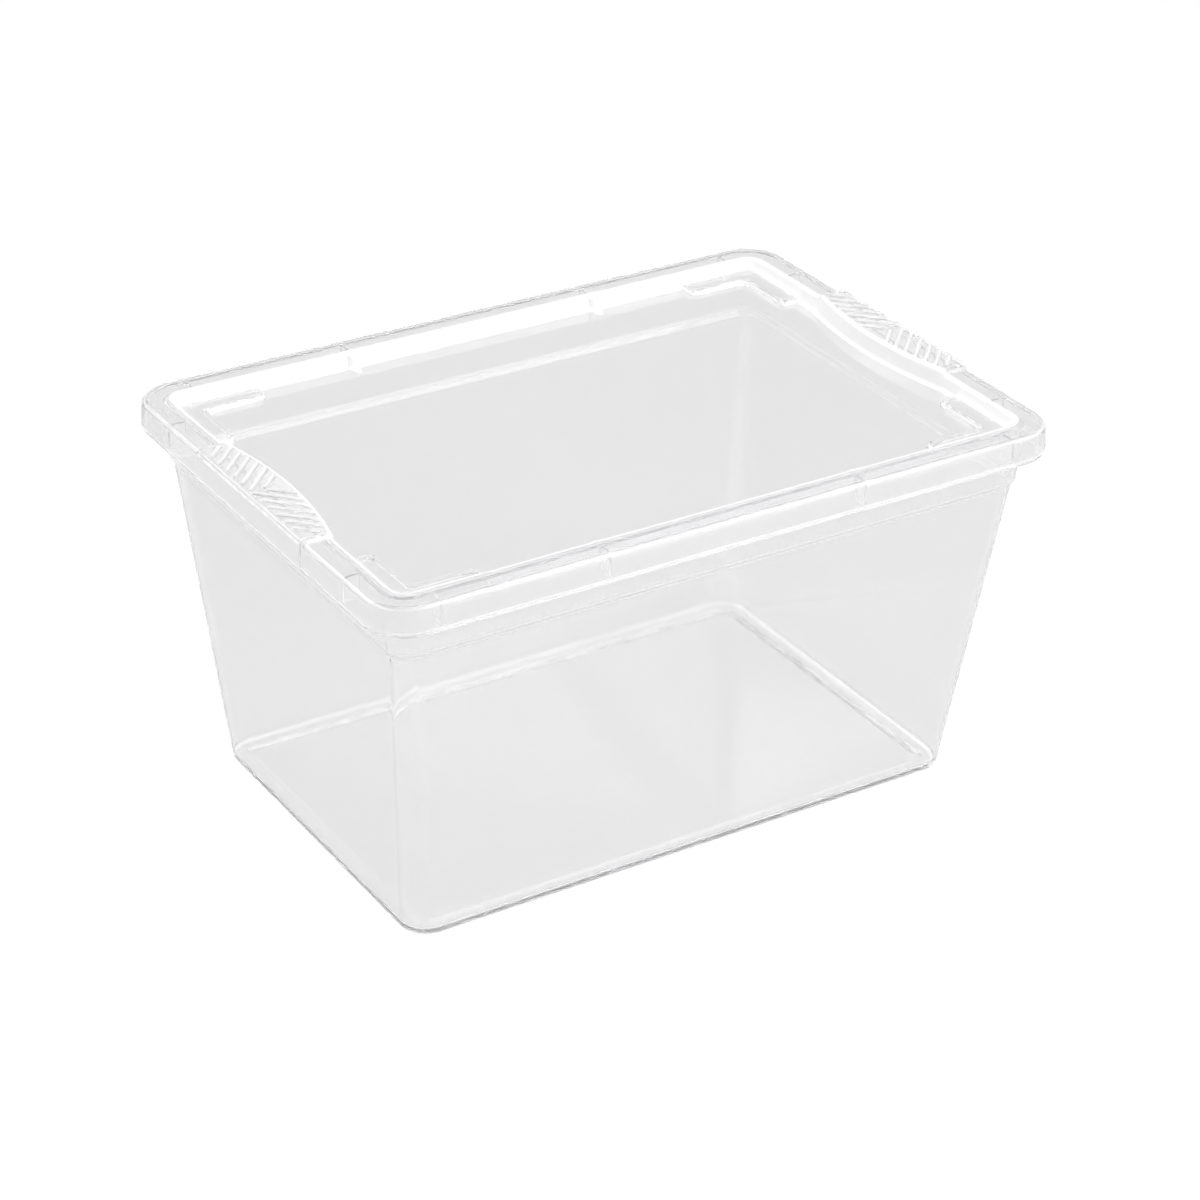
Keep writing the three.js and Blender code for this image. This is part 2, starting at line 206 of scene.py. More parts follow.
def with_painted_highlight(rings, painted_highlight):
    """The same rings, with a painted highlight: a whiter, less clear surface that shows as a
    light line.
    """
    for place in rings:
        place[HIGHLIGHT_SHARE] = painted_highlight
    return rings


def clear(rings):
    """The same rings, clear again, without the painted highlight of the rings before them."""
    return with_painted_highlight(rings, 0)


def ridge(rings, painted_highlight):
    """The same rings, with a painted highlight strongest at the middle one: a light line along
    the back of a round edge.
    """
    for place, share in zip(rings, np.linspace(0, 1, len(rings))):
        place[HIGHLIGHT_SHARE] = painted_highlight * math.sin(math.pi * share)
    return rings


def rim_radius(inset):
    """Corner radius of a ring of the lid or the bin's flange."""
    return max(LID_CORNER_RADIUS - CORNER_RADIUS_FALL * inset, PLATEAU_CORNER_RADIUS)


def between(start, end, share):
    """The ring that lies this share of the way from start to end."""
    return start * (1 - share) + end * share


def line(start, end, steps, ends=True):
    """Rings on a straight stretch, without its two ends if ends is false."""
    shares = np.linspace(0, 1, steps + 1)
    if not ends:
        shares = shares[1:-1]
    return [start + (end - start) * share for share in shares]


def fillet(start, corner, end, steps=6):
    """Rings on a quarter round that would meet at corner if it were sharp."""
    rings = []
    for angle in np.linspace(0, math.pi / 2, steps + 1):
        to_start = 1 - math.sin(angle)
        to_end = 1 - math.cos(angle)
        rings.append(corner + (start - corner) * to_start + (end - corner) * to_end)
    return rings


def hump(share):
    """0 where share is 0 or 1, and 1 half way between."""
    return 4 * share * (1 - share)


def smooth(values, low, high):
    """0 below low, 1 above high, and an S-curve between them."""
    share = np.clip((values - low) / (high - low), 0, 1)
    return share * share * (3 - 2 * share)


# ---------------------------------------------------------------- columns

class Columns:
    """Places round the outline. along_x holds those on the long sides, along_y those on the
    short sides, both mirrored. Columns past steady slide with the corners of smaller rings."""

    def __init__(self, along_x, along_y, steady):
        self.steady = steady
        xs = self.mirrored(along_x, STRAIGHT_X)
        ys = self.mirrored(along_y, STRAIGHT_Y)
        arc = np.linspace(0, math.pi / 2, CORNER_STEPS + 1)
        sides = []
        corners = ((1, 1), (-1, 1), (-1, -1), (1, -1))
        lists = (ys, xs[::-1], ys[::-1], xs)
        for quarter in range(4):
            sides.append(self.block(quarter, lists[quarter], None, (0, 0)))
            turn = arc + quarter * math.pi / 2
            sides.append(self.block(-1, None, turn, corners[quarter]))
        self.side, self.place, self.angle, self.sign_x, self.sign_y = np.hstack(sides)
        self.count = len(self.side)

    @staticmethod
    def mirrored(places, limit):
        """Places to both sides of the middle, to the nearest micrometre, short of limit."""
        places = np.unique(np.round(np.abs(places), 6))
        places = places[places < limit - 0.01 * MM]
        return np.unique(np.concatenate((-places, places)))

    @staticmethod
    def block(side, places, angles, signs):
        """Columns along one side, or round one corner, where side is -1."""
        count = len(places) if angles is None else len(angles)
        return np.array([
            np.full(count, side),
            np.zeros(count) if places is None else places,
            np.zeros(count) if angles is None else angles,
            np.full(count, signs[0]),
            np.full(count, signs[1]),
        ])

    def slid(self, half, radius, straight, steady):
        """Places along a side, squeezed past steady to end where the ring's corner starts."""
        reach = np.abs(self.place)
        squeeze = (half - radius - steady) / (straight - steady)
        moved = np.where(reach <= steady, reach, steady + (reach - steady) * squeeze)
        return np.sign(self.place) * moved

    def points(self, inset, radius):
        """x and y of every ring at every column."""
        half_x = HALF_X - inset
        half_y = HALF_Y - inset
        along_x = self.slid(half_x, radius, STRAIGHT_X, self.steady[0])
        along_y = self.slid(half_y, radius, STRAIGHT_Y, self.steady[1])
        x = self.sign_x * (half_x - radius) + radius * np.cos(self.angle)
        y = self.sign_y * (half_y - radius) + radius * np.sin(self.angle)
        x = np.select([self.side == 0, self.side == 2], [half_x, -half_x], x)
        y = np.select([self.side == 1, self.side == 3], [half_y, -half_y], y)
        x = np.where(self.on_long_side(), along_x, x)
        y = np.where(self.on_short_side(), along_y, y)
        return x, y

    def on_short_side(self):
        return (self.side == 0) | (self.side == 2)

    def on_long_side(self):
        return (self.side == 1) | (self.side == 3)


def skin(name, x, y, z, painted_highlight):
    """Closed mesh from a grid of rings by columns, with a fan over each end."""
    rings, columns = x.shape
    grid = np.stack((x, y, z), axis=-1).reshape(-1, 3)
    ends = [[0, 0, z[0].mean()], [0, 0, z[-1].mean()]]
    vertices = np.vstack((grid, ends))
    index = np.arange(rings * columns).reshape(rings, columns)
    following = np.roll(index, -1, axis=1)
    quads = np.stack((index[:-1], following[:-1], following[1:], index[1:]), axis=-1)
    bottom = len(grid)
    top = bottom + 1
    faces = quads.reshape(-1, 4).tolist()
    faces += [[bottom, b, a] for a, b in zip(index[0], following[0])]
    faces += [[top, a, b] for a, b in zip(index[-1], following[-1])]
    mesh = bpy.data.meshes.new(name)
    mesh.from_pydata(vertices.tolist(), [], faces)
    # each point's painted highlight share, which the plastic turns into a whiter, less clear
    # surface
    share = mesh.attributes.new("painted_highlight", "FLOAT", "POINT")
    share.data.foreach_set("value", np.append(painted_highlight.ravel(), (0, 0)))
    mesh.shade_smooth()
    mesh.set_sharp_from_angle(angle=SHARP_ANGLE)
    piece = bpy.data.objects.new(name, mesh)
    bpy.context.scene.collection.objects.link(piece)
    normals = piece.modifiers.new("even_normals", "WEIGHTED_NORMAL")
    normals.keep_sharp = True
    return piece


# ---------------------------------------------------------------- lid

def step_share(z, top, foot):
    """How far down a recess wall a ring lies, from 0 at its top to 1 at its foot."""
    return min(1, max(0, (top - z) / (top - foot)))


def recess_wall(rings, top, foot):
    """The same rings, with the share of a plateau's step that each takes."""
    for place in rings:
        place[STEP] = step_share(place[HEIGHT], top, foot)
    return rings


def plateau_edge(inner_inset, z, upwards):
    """Rings across the inner edge of the plateaus. Upwards runs from the panel to the wall."""
    shares = np.linspace(0, 1, 9)
    rings = []
    for share in shares if upwards else shares[::-1]:
        inset = inner_inset + STEP_RUN * (0.5 - share)
        rings.append(ring(inset, z, step=float(smooth(share, 0, 1))))
    return rings


def rim_root():
    """Where the underside of the rim meets the fillet into the skirt."""
    return ring(LID_WALL + SKIRT_ROOT_RADIUS, RIM_UNDERSIDE, grip_up=GRIP_RISE)


def lid_underside():
    """From the middle of the panel's underside, up the recess wall and out under the rim."""
    wall_foot = RECESS_FOOT_INSET - LID_WALL
    wall_top = RIM_UNDERSIDE - UNDER_RIM_RADIUS
    band = ring(PLATEAU_INSET - STEP_RUN - LID_WALL, PANEL_UNDERSIDE, step=1)
    foot = ring(wall_foot + RECESS_FOOT_RADIUS, PANEL_UNDERSIDE, arch=1, step=1)

    rings = [ring(PLATEAU_INSET + PANEL_SUPPORT, PANEL_UNDERSIDE)]
    rings += plateau_edge(PLATEAU_INSET - LID_WALL, PANEL_UNDERSIDE, upwards=True)
    rings += line(band, foot, 5)[:-1]
    wall = fillet(
        foot,
        ring(wall_foot, PANEL_UNDERSIDE, arch=1),
        ring(wall_foot - RECESS_FOOT_DRAFT, PANEL_UNDERSIDE + RECESS_FOOT_RADIUS, arch=1),
    )
    wall += line(wall[-1], ring(RIM_WIDTH - LID_WALL, wall_top, arch=1), 4)[1:]
    # painted highlight: the underside of the recess wall is made whiter, to show as light
    rings += with_painted_highlight(recess_wall(wall, wall_top, PANEL_UNDERSIDE), UNDERSIDE_PAINTED_HIGHLIGHT)

    rim_in = ring(
        RIM_WIDTH - LID_WALL - UNDER_RIM_RADIUS, RIM_UNDERSIDE, arch=1, grip_up=GRIP_RISE)
    rings += fillet(
        rings[-1] + ring(0, 0, 0, grip_up=GRIP_RISE),
        ring(RIM_WIDTH - LID_WALL, RIM_UNDERSIDE, arch=1, grip_up=GRIP_RISE),
        rim_in,
        steps=4,
    )[1:]
    return rings + line(rim_in, rim_root(), 12, ends=False)


def lid_skirt():
    """Down the inside of the skirt and round its foot. On the grips it stands proud."""
    proud = {"grip_in": -GRIP_PROUD}
    edge = SKIRT_EDGE_RADIUS
    inside = LID_WALL - SKIRT_FLARE
    top = ring(LID_WALL, RIM_UNDERSIDE - SKIRT_ROOT_RADIUS, **proud)
    corner = ring(LID_WALL, RIM_UNDERSIDE, grip_up=GRIP_RISE, **proud)

    rings = fillet(rim_root(), corner, top, steps=5)
    rings += line(top, ring(inside, SKIRT_FOOT + 3 * edge, **proud), 3)[1:]
    foot = fillet(
        ring(inside, SKIRT_FOOT + edge, **proud),
        ring(inside, SKIRT_FOOT, **proud),
        ring(inside - edge, SKIRT_FOOT, **proud),
        steps=3,
    )
    foot += fillet(
        ring(-SKIRT_FLARE + edge, SKIRT_FOOT, **proud),
        ring(-SKIRT_FLARE, SKIRT_FOOT, **proud),
        ring(-SKIRT_FLARE, SKIRT_FOOT + edge, **proud),
        steps=3,
    )
    # painted highlight: a light line round the foot of the skirt
    rings += with_painted_highlight(foot, SKIRT_PAINTED_HIGHLIGHT)
    rings.append(ring(-SKIRT_FLARE, SKIRT_FOOT + 3 * edge, **proud))
    return rings


def lid_top(rim_out):
    """In over the rim, down the recess wall and over the plateaus to the panel's middle."""
    wall_top = RIM_TOP - RECESS_EDGE
    rim_in = ring(RIM_WIDTH - RECESS_EDGE, RIM_TOP, arch=1, rib=1, grip_up=GRIP_RISE)
    rings = clear(line(rim_out, rim_in, RIM_STEPS, ends=False))
    # painted highlight: the round edge down into the recess and the recess wall below it are made
    # white, to stand for the light they catch
    rings += with_painted_highlight(fillet(
        rim_in,
        ring(RIM_WIDTH, RIM_TOP, arch=1, grip_up=GRIP_RISE),
        ring(RIM_WIDTH + RECESS_EDGE_DRAFT, wall_top, arch=1, pip=1, grip_up=GRIP_RISE),
    ), RECESS_PAINTED_HIGHLIGHT)

    foot_top = ring(
        RECESS_FOOT_INSET - RECESS_FOOT_DRAFT, PANEL_TOP + RECESS_FOOT_RADIUS, arch=1, pip=1)
    foot_end = ring(RECESS_FOOT_INSET + RECESS_FOOT_RADIUS, PANEL_TOP, arch=1, pip=1, step=1)
    wall = line(rings[-1], foot_top, 4)[1:-1]
    wall += fillet(foot_top, ring(RECESS_FOOT_INSET, PANEL_TOP, arch=1, pip=1), foot_end)
    # painted highlight on the recess wall
    rings += with_painted_highlight(recess_wall(wall, wall_top, PANEL_TOP), RECESS_PAINTED_HIGHLIGHT)

    band = ring(PLATEAU_INSET - STEP_RUN, PANEL_TOP, step=1)
    rings += clear(line(foot_end, band, 6)[1:])
    rings += plateau_edge(PLATEAU_INSET, PANEL_TOP, upwards=False)
    rings.append(ring(PLATEAU_INSET + PANEL_EDGE_SUPPORT, PANEL_TOP))
    rings.append(ring(PLATEAU_INSET + PANEL_SUPPORT, PANEL_TOP))
    return rings


def lid_rings():
    rings = lid_underside() + lid_skirt()
    rings += rim_edge(rings[-1])
    rings += lid_top(rings[-1])
    return np.array(rings)


def rim_edge(skirt_foot):
    """Outer face of the skirt, then the rounded outer edge of the rim, sharper on the grips."""
    sharper = GRIP_EDGE_RADIUS / RIM_EDGE_RADIUS - 1
    rings = []
    for angle in np.linspace(0, math.pi / 2, 11):
        inset = RIM_EDGE_RADIUS * (1 - math.cos(angle))
        drop = RIM_EDGE_RADIUS * (1 - math.sin(angle))
        rings.append(ring(
            inset,
            RIM_TOP - drop,
            grip_in=inset * sharper - GRIP_PROUD,
            grip_up=GRIP_RISE - drop * sharper,
            rib=1 if angle == math.pi / 2 else 0,
        ))
    skirt = clear(line(skirt_foot, rings[0], 5, ends=False))
    # painted highlight: a light line along the rim's round outer edge
    return skirt + ridge(rings, RIM_EDGE_PAINTED_HIGHLIGHT)


def rib_lines():
    """The grip's ribs as (u, v) pairs, u in from the rim's edge and v from the grip's middle.
    They slant at 45 degrees and stop short of the grip's edges."""
    first = RIB_START - RIB_PITCH
    run = np.linspace(0, RIB_REACH, RIB_SAMPLES)
    u = RIB_MARGIN + run
    lines = []
    for number in range(RIBS_PER_HALF):
        v = first + number * RIB_PITCH + run
        inside = (v > RIB_MIDDLE_GAP) & (v < GRIP_HALF_LENGTH - RIB_MARGIN)
        inside &= u < RIM_WIDTH + grip_arch(v) - RIB_MARGIN
        lines.append(((u[inside][0], v[inside][0]), (u[inside][-1], v[inside][-1])))
    return lines


def rib_height(x, y):
    """Height of the ribs' rounded backs at places on the grips."""
    u = HALF_X - np.abs(x)
    v = np.abs(y)
    height = np.zeros_like(x)
    for (u0, v0), (u1, v1) in rib_lines():
        length = math.hypot(u1 - u0, v1 - v0)
        along = ((u - u0) * (u1 - u0) + (v - v0) * (v1 - v0)) / length ** 2
        along = np.clip(along, 0, 1)
        distance = np.hypot(u - u0 - along * (u1 - u0), v - v0 - along * (v1 - v0))
        across = np.clip(1 - (2 * distance / RIB_WIDTH) ** 2, 0, 1)
        height = np.maximum(height, RIB_HEIGHT * across ** RIB_ROUNDNESS)
    return height


def grip_arch(y):
    """How far the grip's inner edge bulges into the recess, an arc across the rim."""
    arc = (GRIP_FOOT_HALF_LENGTH ** 2 + GRIP_BULGE ** 2) / (2 * GRIP_BULGE)
    sag = np.sqrt(np.maximum(arc ** 2 - y ** 2, 0)) - (arc - GRIP_BULGE)
    return np.maximum(sag, 0)


def lid_columns():
    """Columns close together along the grips, and where a plateau, a pip or a grip ends."""
    edge = np.linspace(-0.7, 0.7, 9) * STEP_RUN
    along_y = np.concatenate((
        np.arange(0, GRIP_FOOT_HALF_LENGTH + 2 * GRIP_SPACING, GRIP_SPACING),
        GRIP_HALF_LENGTH + np.linspace(-0.1, 0.7, 8) * MM,
        PLATEAU_END_Y + edge,
        PLATEAU_END_Y + LID_WALL + edge,
        np.arange(LID_SPACING_START_Y, STRAIGHT_Y, LID_SPACING_Y),
    ))
    along_x = np.concatenate((
        np.arange(0, STRAIGHT_X, LID_SPACING_X),
        PIP_X + np.linspace(-1.15, 1.15, 21) * PIP_RADIUS,
        PLATEAU_END_X + edge,
        PLATEAU_END_X + LID_WALL + edge,
    ))
    return Columns(along_x, along_y, LID_STEADY)


def on_plateau(columns, inset, under):
    """1 on the plateaus and 0 off them, for each ring and column. The corner of each arm's end
    is rounded. Under the lid the hollow is smaller by the wall's thickness."""
    wall = np.where(under, LID_WALL, 0)
    radius = PLATEAU_END_RADIUS - wall
    past = np.clip(inset - (PLATEAU_INSET - wall - radius), 0, radius)
    round_off = radius - np.sqrt(radius ** 2 - past ** 2)
    end = np.where(columns.on_short_side(), PLATEAU_END_Y, PLATEAU_END_X) + wall + round_off
    reach = np.abs(columns.place)
    share = smooth(reach, end - STEP_RUN / 2, end + STEP_RUN / 2)
    return np.where(columns.side < 0, 1.0, share)


def make_lid():
    rings = lid_rings()
    columns = lid_columns()
    field = [rings[:, key][:, None] for key in range(rings.shape[1])]
    under = np.arange(len(rings))[:, None] < np.argmin(rings[:, HEIGHT])
    under = under & (field[HEIGHT] < RIM_TOP)
    reach = np.abs(columns.place)
    short = columns.on_short_side()
    ramp = np.where(short, 1 - smooth(reach, GRIP_HALF_LENGTH, GRIP_FOOT_HALF_LENGTH), 0)
    apron = np.where(short, 1 - smooth(reach, GRIP_HALF_LENGTH, GRIP_HALF_LENGTH + APRON_RAMP), 0)
    arch = np.where(short, grip_arch(columns.place), 0)
    from_pip = np.abs(reach - PIP_X)
    pip = np.sqrt(np.maximum(PIP_RADIUS ** 2 - from_pip ** 2, 0))
    pip = np.where(columns.on_long_side(), pip, 0)

    plateau = on_plateau(columns, field[INSET], under)
    step = field[STEP] * plateau
    inset = field[INSET] + field[ARCH] * arch + field[PIP] * pip + field[GRIP_IN] * apron
    x, y = columns.points(inset, np.broadcast_to(field[RADIUS], inset.shape))
    z = field[HEIGHT] + PLATEAU_HEIGHT * step + field[GRIP_UP] * ramp
    rib = np.where(field[RIB] * ramp > 0, rib_height(x, y), 0)
    z = z + rib

    # painted highlights: light lines where the plateaus meet the panel, on the ribs' backs, over
    # the grip pad, on the pips and where the skirt steps out at each grip's end
    from_panel = np.minimum(
        np.abs(field[HEIGHT] - PANEL_TOP), np.abs(field[HEIGHT] - PANEL_UNDERSIDE))
    painted_highlight = field[HIGHLIGHT_SHARE] + np.where(from_panel < PANEL_NEAR, STEP_PAINTED_HIGHLIGHT * hump(step), 0)
    painted_highlight = painted_highlight + field[RIB] * ramp * GRIP_PAINTED_HIGHLIGHT + RIB_PAINTED_HIGHLIGHT * rib / RIB_HEIGHT
    painted_highlight = painted_highlight + field[PIP] * pip / PIP_RADIUS
    painted_highlight = painted_highlight + np.where(field[GRIP_IN] != 0, APRON_PAINTED_HIGHLIGHT * hump(apron), 0)
    return skin("lid_shell", x, y, z, np.clip(painted_highlight, 0, 1))


# ---------------------------------------------------------------- bin

def wall_ring(z, offset=0.0):
    """The bin's wall leans in a straight line from the foot to the shoulder."""
    rise = z / SHOULDER_HEIGHT
    inset = BASE_INSET + (SHOULDER_INSET - BASE_INSET) * rise + offset
    top_radius = rim_radius(SHOULDER_INSET)
    radius = BASE_CORNER_RADIUS + (top_radius - BASE_CORNER_RADIUS) * rise - offset
    return ring(inset, z, radius)


def at_height(place, z):
    """The same ring at another height."""
    moved = place.copy()
    moved[HEIGHT] = z
    return moved


def bin_outside():
    """From the middle of the underside, out over the foot, up the wall and up the collar."""
    foot_inner = BASE_INSET + FOOT_WIDTH
    foot_radius = BASE_CORNER_RADIUS - FOOT_WIDTH
    wall_end = wall_ring(SHOULDER_HEIGHT)
    wall_top = SHOULDER_HEIGHT - SHOULDER_FILLET
    shoulder = ring(COLLAR_INSET, SHOULDER_HEIGHT + SHOULDER_RISE)
    collar_top = ring(COLLAR_TOP_INSET, FLANGE_UNDERSIDE - FLANGE_FILLET)

    rings = [ring(foot_inner + FOOT_SUPPORT, FOOT_DEPTH, foot_radius)]
    for share in np.linspace(1, 0, 9):
        inset = foot_inner - FOOT_STEP_RUN * (FOOT_STEP_PLACE - share)
        rings.append(ring(inset, FOOT_DEPTH * float(smooth(share, 0, 1)), foot_radius))
    # painted highlight: a light band round the bin's foot
    rings += ridge(fillet(
        at_height(wall_ring(0, FOOT_FILLET), 0),
        wall_ring(0),
        wall_ring(FOOT_FILLET),
        steps=12,
    ), FOOT_PAINTED_HIGHLIGHT)
    rings += line(
        wall_ring(FOOT_FILLET + WALL_SUPPORT), wall_ring(wall_top - WALL_SUPPORT), 16)
    # painted highlights: light lines along both fillets of the shoulder
    rings += ridge(fillet(
        wall_ring(wall_top),
        wall_end,
        between(wall_end, shoulder, SHOULDER_FILLET_SHARE),
        steps=4,
    ), SHOULDER_PAINTED_HIGHLIGHT)
    rings += ridge(fillet(
        between(wall_end, shoulder, 1 - SHOULDER_FILLET_SHARE),
        shoulder,
        between(shoulder, collar_top, COLLAR_FILLET_SHARE),
        steps=4,
    ), SHOULDER_PAINTED_HIGHLIGHT)
    return rings + line(between(shoulder, collar_top, 2 * COLLAR_FILLET_SHARE), collar_top, 6)


def flange_pocket(collar_top):
    """Out under the flange and down inside the lip. The gussets fill these rings."""
    soft = FLANGE_FILLET
    lip_inner = LIP_INSET + LIP_WALL
    lip_top = ring(lip_inner, FLANGE_UNDERSIDE - soft)
    rings = fillet(
        collar_top,
        ring(COLLAR_TOP_INSET, FLANGE_UNDERSIDE),
        ring(COLLAR_TOP_INSET - soft, FLANGE_UNDERSIDE),
        steps=4,
    )[1:]
    rings += fillet(
        ring(lip_inner + soft, FLANGE_UNDERSIDE),
        ring(lip_inner, FLANGE_UNDERSIDE),
        lip_top,
        steps=4,
    )
    rings += line(lip_top, ring(lip_inner - BEAD_EDGE_RADIUS, LIP_FOOT), 4)[1:]
    for place in rings:
        place[GUSSET] = 1
    return rings


def lip_bead():
    """Round the bead at the foot of the lip."""
    edge = BEAD_EDGE_RADIUS
    rings = fillet(
        ring(BEAD_INSET + edge, LIP_FOOT),
        ring(BEAD_INSET, LIP_FOOT),
        ring(BEAD_INSET, LIP_FOOT + edge),
        steps=3,
    )
    rings += fillet(
        ring(BEAD_INSET, BEAD_TOP - edge),
        ring(BEAD_INSET, BEAD_TOP),
        ring(BEAD_INSET + edge, BEAD_TOP),
        steps=3,
    )
    # a faint painted highlight round the bead
    return with_painted_highlight(rings, BEAD_PAINTED_HIGHLIGHT) + [ring(LIP_INSET, BEAD_TOP)]


def bin_inside():
    """Up the outside of the lip, over the flange and down the inside to the middle."""
    soft = FLANGE_FILLET
    floor_top = FOOT_DEPTH + FLOOR_THICKNESS
    inner = COLLAR_TOP_INSET + BIN_WALL
    shoulder = ring(
        COLLAR_INSET + BIN_WALL, SHOULDER_HEIGHT + SHOULDER_RISE + INNER_BEND_RISE)
    wall_top = wall_ring(SHOULDER_HEIGHT - INNER_BEND_DROP, BIN_WALL)

    rings = fillet(
        ring(LIP_INSET, BIN_TOP - FLANGE_EDGE_RADIUS),
        ring(LIP_INSET, BIN_TOP),
        ring(LIP_INSET + FLANGE_EDGE_RADIUS, BIN_TOP),
    )
    rings += fillet(
        ring(inner - soft, BIN_TOP),
        ring(inner, BIN_TOP),
        ring(inner, BIN_TOP - soft),
    )
    rings += line(rings[-1], shoulder, 5)[1:]
    rings += line(shoulder, wall_top, 4)[1:]
    rings += line(wall_top, wall_ring(floor_top + FOOT_FILLET, BIN_WALL), 16)[1:]
    rings += fillet(
        rings[-1],
        wall_ring(floor_top, BIN_WALL),
        at_height(wall_ring(floor_top, BIN_WALL + FOOT_FILLET), floor_top),
        steps=8,
    )[1:]
    for support in (FLOOR_EDGE_SUPPORT, FLOOR_SUPPORT):
        offset = BIN_WALL + FOOT_FILLET + support
        rings.append(at_height(wall_ring(floor_top, offset), floor_top))
    return rings


def bin_rings():
    rings = bin_outside()
    rings += flange_pocket(rings[-1])
    rings += lip_bead() + bin_inside()
    return np.array(rings)


def bin_columns():
    half = GUSSET_THICKNESS / 2 + GUSSET_ROOT
    side = np.array([-1, -0.999, -0.8, 0, 0.8, 0.999, 1]) * half
    along_x = [np.arange(0, STRAIGHT_X, BIN_SPACING)] + [x + side for x in GUSSET_X]
    along_y = [np.arange(0, STRAIGHT_Y, BIN_SPACING)] + [y + side for y in GUSSET_Y]
    return Columns(np.concatenate(along_x), np.concatenate(along_y), BIN_STEADY)


def on_gussets(columns):
    """Which columns run down a gusset."""
    half = (GUSSET_THICKNESS + GUSSET_ROOT) / 2
    reach = np.abs(columns.place)
    found = np.zeros(columns.count, bool)
    for side, places in ((columns.on_long_side(), GUSSET_X), (columns.on_short_side(), GUSSET_Y)):
        for place in places:
            found |= side & (np.abs(reach - place) < half)
    return found


def make_bin():
    rings = bin_rings()
    columns = bin_columns()
    field = [rings[:, key][:, None] for key in range(rings.shape[1])]
    inset = np.broadcast_to(field[INSET], (len(rings), columns.count))
    x, y = columns.points(inset, np.broadcast_to(field[RADIUS], inset.shape))
    z = np.broadcast_to(field[HEIGHT], inset.shape)

    gusset_foot = LIP_FOOT + GUSSET_STOP
    filled = on_gussets(columns) & (field[GUSSET] > 0) & (z > gusset_foot)
    z = np.where(filled, gusset_foot, z)
    # painted highlights: light lines down the wall's upright corners and over the gussets
    corner = np.where(columns.side < 0, np.sin(2 * columns.angle) ** 2, 0)
    upright = (z > FOOT_DEPTH + FLOOR_THICKNESS + FOOT_FILLET) & (z < SHOULDER_HEIGHT)
    painted_highlight = field[HIGHLIGHT_SHARE] + CORNER_PAINTED_HIGHLIGHT * corner * upright + GUSSET_PAINTED_HIGHLIGHT * filled
    return skin("bin_shell", x, y, z, np.minimum(painted_highlight, 1))


# ---------------------------------------------------------------- materials

PLASTIC_TINT = (0.968, 0.967, 0.969)
PLASTIC_IOR = 1.49
PLASTIC_CLARITY = 0.96
# how clear the plastic stays under a full painted highlight
HIGHLIGHT_CLARITY = 0.25
PLASTIC_ROUGHNESS = 0.05
SMOOTHEST = 0.7  # the peel varies the roughness between these shares of it
ROUGHEST = 1.4
SHADOW_TINT = (0.93, 0.93, 0.935)
WAVE_SCALE = 14
WAVE_DEPTH = 2 * MM
BIN_WAVES = 0.08
LID_WAVES = 0.06
PEEL_SCALE = 420
PEEL_DEPTH = 0.02 * MM
PEEL_STRENGTH = 0.3


def noise(nodes, links, place, scale, detail):
    """Noise in the piece's own space."""
    texture = nodes.new("ShaderNodeTexNoise")
    texture.inputs["Scale"].default_value = scale
    texture.inputs["Detail"].default_value = detail
    links.new(place.outputs["Object"], texture.inputs["Vector"])
    return texture


def bump(nodes, links, height, depth, strength):
    """Bump that follows a noise."""
    relief = nodes.new("ShaderNodeBump")
    relief.inputs["Distance"].default_value = depth
    relief.inputs["Strength"].default_value = strength
    links.new(height.outputs["Fac"], relief.inputs["Height"])
    return relief


